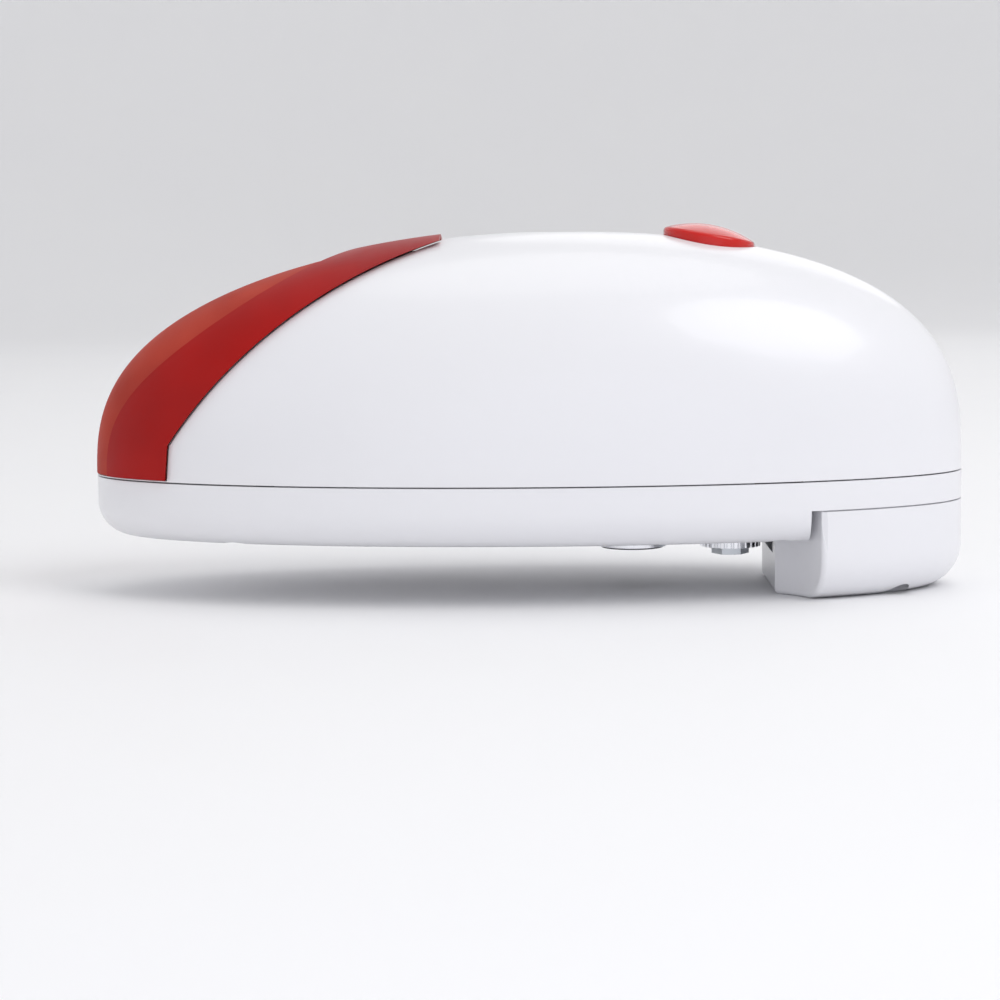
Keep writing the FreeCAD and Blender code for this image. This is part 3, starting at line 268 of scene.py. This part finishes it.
def cover_finish():
    """The battery cover: deep red glossy sides and a lighter matt panel down its middle."""
    finish = Finish("red_cover")
    finish.shader.inputs["Specular IOR Level"].default_value = 0.22
    cover_low, cover_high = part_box("battery_cover")
    length = cover_high.x - cover_low.x
    panel_middle = cover_low.x + PANEL_MIDDLE * length
    panel_tip = cover_low.x + PANEL_TIP * length
    panel_half = PANEL_HALF_WIDTH * (cover_high.y - cover_low.y)
    reach = ((panel_tip - panel_middle) ** 2 + panel_half ** 2) / (2 * panel_half)
    flat = finish.add("ShaderNodeVectorMath", operation="MULTIPLY")
    flat.inputs[1].default_value = (1, 1, 0)
    finish.link(finish.place, flat.inputs[0])
    distances = []
    for side in (1, -1):
        ruler = finish.add("ShaderNodeVectorMath", operation="DISTANCE")
        ruler.inputs[1].default_value = (panel_middle, side * (reach - panel_half), 0)
        finish.link(flat.outputs[0], ruler.inputs[0])
        distances.append(ruler.outputs["Value"])
    farthest = finish.math("MAXIMUM", *distances)
    panel = finish.stretch(farthest, reach, reach - PANEL_EDGE, 0.0, 1.0)
    cloud = finish.stretch(finish.noise(18 * MM, 2.0), 0.35, 0.65, 0.0, 1.0)
    sides = finish.blend(cloud, linear(170, 6, 3), linear(158, 5, 3))
    matt = finish.blend(cloud, linear(186, 62, 44), linear(170, 48, 32))
    finish.colour(finish.blend(panel, sides, matt))
    patches = finish.stretch(finish.noise(14 * MM, 4.0), 0.3, 0.7, 0.0, 0.08)
    evenly_rough = finish.stretch(panel, 0.0, 1.0, 0.34, 0.55)
    finish.link(finish.math("ADD", patches, evenly_rough), finish.shader.inputs["Roughness"])
    peel = finish.relief(finish.noise(2.5 * MM, 1.0), 0.01 * MM)
    grain = finish.math("MULTIPLY", finish.noise(0.35 * MM, 3.0), panel)
    finish.relief(grain, 0.02 * MM, peel)
    return finish


BARE_END = 1.5 * MM
BAND_START = 12.0 * MM
PRINT_EDGE = 0.1 * MM


def cell_finish():
    """Two dry cells: a plain dark sleeve with a copper-coloured end, and bare metal at both ends.

    The two cells lie opposite ways round, so the coloured end follows the sign of y.
    """
    finish = Finish("cell_sleeve", coat=0.4)
    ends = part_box("battery_cells")
    centre = (ends[0] + ends[1]) / 2
    half = (ends[1].x - ends[0].x) / 2
    split = finish.add("ShaderNodeSeparateXYZ")
    finish.link(finish.moved((centre.x, centre.y, centre.z)), split.inputs[0])
    along = finish.math("ABSOLUTE", split.outputs["X"], 0.0)
    bare_start = half - BARE_END
    bare = finish.stretch(along, bare_start - PRINT_EDGE, bare_start, 0.0, 1.0)
    side = finish.math("SIGN", split.outputs["Y"], 0.0)
    sided = finish.math("MULTIPLY", split.outputs["X"], side)
    band = finish.stretch(sided, BAND_START, BAND_START + PRINT_EDGE, 0.0, 1.0)
    sleeve = finish.blend(band, linear(34, 38, 44), linear(176, 132, 60))
    finish.colour(finish.blend(bare, sleeve, linear(200, 200, 196)))
    finish.link(bare, finish.shader.inputs["Metallic"])
    finish.gloss(5 * MM, 0.22, 0.34)
    finish.relief(finish.noise(1.5 * MM, 2.0), 0.006 * MM)
    return finish


TRACK_SCALE = 260
TRACK_WIDTH = 0.06


def board_finish():
    """A circuit board: green solder mask with a raised, lighter grid of lines, as over tracks."""
    finish = Finish("board")
    tracks = finish.add("ShaderNodeTexBrick")
    tracks.inputs["Scale"].default_value = TRACK_SCALE
    tracks.inputs["Mortar Size"].default_value = TRACK_WIDTH
    finish.link(finish.place, tracks.inputs["Vector"])
    mask, over_track = linear(20, 84, 44), linear(58, 132, 70)
    finish.colour(finish.blend(tracks.outputs["Fac"], mask, over_track))
    finish.gloss(3 * MM, 0.3, 0.42)
    finish.relief(tracks.outputs["Fac"], 0.03 * MM)
    return finish


BUTTON_RED = linear(214, 22, 10)
BUTTON_RED_SHADE = linear(202, 16, 8)
GREY, GREY_SHADE = linear(120, 124, 130), linear(104, 108, 114)
BLACK, BLACK_SHADE = linear(44, 45, 48), linear(32, 33, 36)
IVORY, IVORY_SHADE = linear(236, 232, 220), linear(226, 220, 204)
BRONZE, BRONZE_SHADE = linear(190, 150, 92), linear(164, 122, 70)
NICKEL, NICKEL_SHADE = linear(214, 210, 200), linear(190, 186, 176)
FERRITE, FERRITE_SHADE = linear(92, 93, 98), linear(66, 67, 72)

red_button = gloss_plastic("red_button", BUTTON_RED, BUTTON_RED_SHADE, 0.16, 0.24, 0.4)
red_button.shader.inputs["Specular IOR Level"].default_value = 0.3
FINISHES = {
    "white_shell": gloss_plastic("white_shell", WHITE, WHITE_SHADE, 0.27, 0.31, 0.25),
    "red_cover": cover_finish(),
    "red_button": red_button,
    "grey_plastic": matt_plastic("grey_plastic", GREY, GREY_SHADE),
    "black_plastic": matt_plastic("black_plastic", BLACK, BLACK_SHADE, 0.45),
    "gear_plastic": matt_plastic("gear_plastic", IVORY, IVORY_SHADE, 0.38),
    "board": board_finish(),
    "cell_sleeve": cell_finish(),
    "steel": metal("steel", STEEL, STEEL_SHADE, 0.24, 0.38),
    "hard_steel": metal("hard_steel", BRIGHT_STEEL, STEEL, 0.12, 0.22),
    "zinc": metal("zinc", ZINC, ZINC_SHADE, 0.28, 0.45, CAST, 0.003 * MM),
    "bronze": metal("bronze", BRONZE, BRONZE_SHADE, 0.35, 0.5, POLISHED_ALL_WAYS),
    "nickel": metal("nickel", NICKEL, NICKEL_SHADE, 0.16, 0.28),
    "magnet": metal("magnet", FERRITE, FERRITE_SHADE, 0.4, 0.6, POLISHED_ALL_WAYS),
}
TURNED = ("drive_wheel", "cutter_wheel", "cutter_pin", "magnet_cup", "drive_spindle")

for row in frame["record"]["subparts"]:
    node = row["node"]
    finish = FINISHES[row["material_slot"]]
    if node in TURNED:
        finish = turned_metal(f"{node}_turned", node, BRIGHT_STEEL, STEEL, 0.14, 0.26)
    shown = frame["nodes"][node]
    for slot in shown.material_slots:
        slot.material = finish.material
    if not shown.material_slots:
        shown.data.materials.append(finish.material)


# ---------------------------------------------------------------- button spring

def bending_spring():
    """The spring under the button: a copy of the CAD node's spring put in its place, with the CAD
    node hidden.
    """
    cad_spring = frame["nodes"]["button_spring"]
    spring = bpy.data.objects.new("bending_spring", cad_spring.data.copy())
    bpy.context.collection.objects.link(spring)
    spring.matrix_world = cad_spring.matrix_world
    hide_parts("button_spring")
    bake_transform(spring)


bending_spring()


# ---------------------------------------------------------------- floor and backdrop

def sweep_floor(radius=1.3, bend=0.6, height=1.9, turns=96, steps=14, flat_rings=6):
    """A round pale floor whose edge curves up into a wall, so that it has no horizon."""
    profile = [(radius * ring / flat_rings, 0.0) for ring in range(1, flat_rings + 1)]
    for step in range(1, steps + 1):
        angle = step / steps * math.pi / 2
        profile.append((radius + bend * math.sin(angle), bend * (1 - math.cos(angle))))
    profile.append((radius + bend, height))
    made = bmesh.new()
    centre = made.verts.new((0, 0, 0))
    rings = []
    for reach, rise in profile:
        ring = []
        for turn in range(turns):
            angle = 2 * math.pi * turn / turns
            ring.append(made.verts.new((reach * math.cos(angle), reach * math.sin(angle), rise)))
        rings.append(ring)
    for turn in range(turns):
        after = (turn + 1) % turns
        made.faces.new((centre, rings[0][turn], rings[0][after]))
        for inner, outer in zip(rings, rings[1:]):
            made.faces.new((inner[turn], outer[turn], outer[after], inner[after]))
    mesh = bpy.data.meshes.new("floor")
    made.to_mesh(mesh)
    made.free()
    for face in mesh.polygons:
        face.use_smooth = True
    floor = bpy.data.objects.new("floor", mesh)
    bpy.context.collection.objects.link(floor)
    finish = Finish("floor_paper")
    paper, paper_shade = linear(250, 250, 251), linear(248, 248, 250)
    finish.colour(finish.blend(finish.noise(80 * MM, 2.0), paper, paper_shade))
    finish.gloss(40 * MM, 0.6, 0.7)
    mesh.materials.append(finish.material)
    return floor


sweep_floor()


# ---------------------------------------------------------------- light and camera

WARM = (1.0, 0.97, 0.94)
LILAC = (0.80, 0.82, 1.0)
WORLD_STRENGTH = 0.6


def soft_light(name, place, target, size, power, colour=(1, 1, 1)):
    """A round lamp, with its width in metres and its power in watts, turned to face a target."""
    lamp = bpy.data.lights.new(name, "AREA")
    lamp.shape = "DISK"
    lamp.size = size
    lamp.energy = power
    lamp.color = colour
    holder = bpy.data.objects.new(name, lamp)
    holder.location = place
    holder.rotation_mode = "QUATERNION"
    holder.rotation_quaternion = (Vector(target) - Vector(place)).to_track_quat("-Z", "Y")
    bpy.context.collection.objects.link(holder)


soft_light("key_light", (0.75, -0.55, 1.0), middle, 0.9, 5.6)
soft_light("top_light", (0.05, 0.15, 1.25), middle, 1.0, 2.4)
soft_light("left_fill", (-1.0, -0.7, 0.5), middle, 0.7, 0.3, WARM)
soft_light("back_light", (0.3, 1.1, 0.7), middle, 0.8, 1.1)
soft_light("low_bounce", (0.05, -0.45, 0.01), (middle.x, 0, 0.02), 0.5, 0.22, LILAC)

world = bpy.data.worlds.new("studio")
world.use_nodes = True
background = world.node_tree.nodes["Background"]
background.inputs["Color"].default_value = (1.0, 1.0, 1.0, 1.0)
background.inputs["Strength"].default_value = WORLD_STRENGTH
bpy.context.scene.world = world
bpy.context.scene.view_settings.view_transform = "Standard"

CAMERA_DISTANCE = 0.55
CAMERA_RISE = 0.1 * MM
CAMERA_TURN = math.radians(0.63)
CAMERA_DIP = math.radians(5.95)
CAMERA_ROLL = math.radians(-0.5)
SENSOR_WIDTH = 36
FOCAL_LENGTH = 95.2

lens = bpy.data.cameras.new("camera")
lens.sensor_width = SENSOR_WIDTH
lens.lens = FOCAL_LENGTH
camera = bpy.data.objects.new("camera", lens)
camera.location = (middle.x, -CAMERA_DISTANCE, high.z + CAMERA_RISE)
sight = Vector((
    -math.sin(CAMERA_TURN) * math.cos(CAMERA_DIP),
    math.cos(CAMERA_TURN) * math.cos(CAMERA_DIP),
    -math.sin(CAMERA_DIP),
))
camera.rotation_mode = "QUATERNION"
camera.rotation_quaternion = sight.to_track_quat("-Z", "Y") @ Quaternion((0, 0, 1), CAMERA_ROLL)
bpy.context.collection.objects.link(camera)
bpy.context.scene.camera = camera
